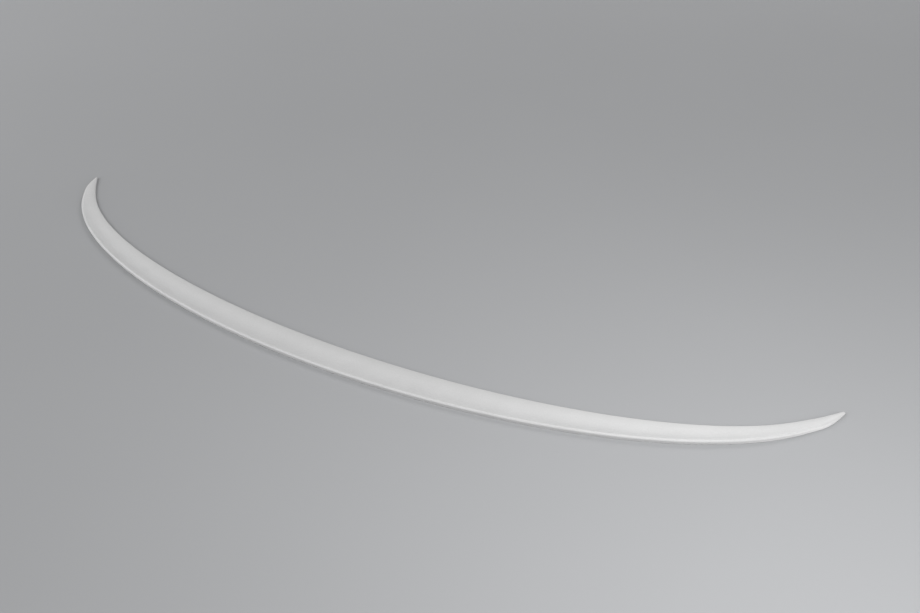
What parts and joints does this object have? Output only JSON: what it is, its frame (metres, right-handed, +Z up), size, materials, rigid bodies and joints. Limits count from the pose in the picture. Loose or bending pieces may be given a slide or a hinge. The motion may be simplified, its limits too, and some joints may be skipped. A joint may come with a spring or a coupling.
{
  "type": "boot-lid lip spoiler",
  "caption": "Slim bowed lip for the rear edge of a car's boot lid, with a raised rear ridge, a hollow top, pointed tips and a ribbed underside that is taped down.",
  "frame": {"origin": "on the flat underside at mid-span, in the middle of the tape land along the front edge", "axes": "+X across the car along the lip's span, +Y towards the front of the car, the hollow side of the bow, +Z up out of the boot lid"},
  "size_m": [1.2, 0.2277, 0.0054],
  "materials": {
    "primed_abs": "injection-moulded ABS in pale grey primer, unpainted, satin to matt"
  },
  "bodies": {
    "root": {"spoiler": "primed_abs"}
  },
  "joints": []
}
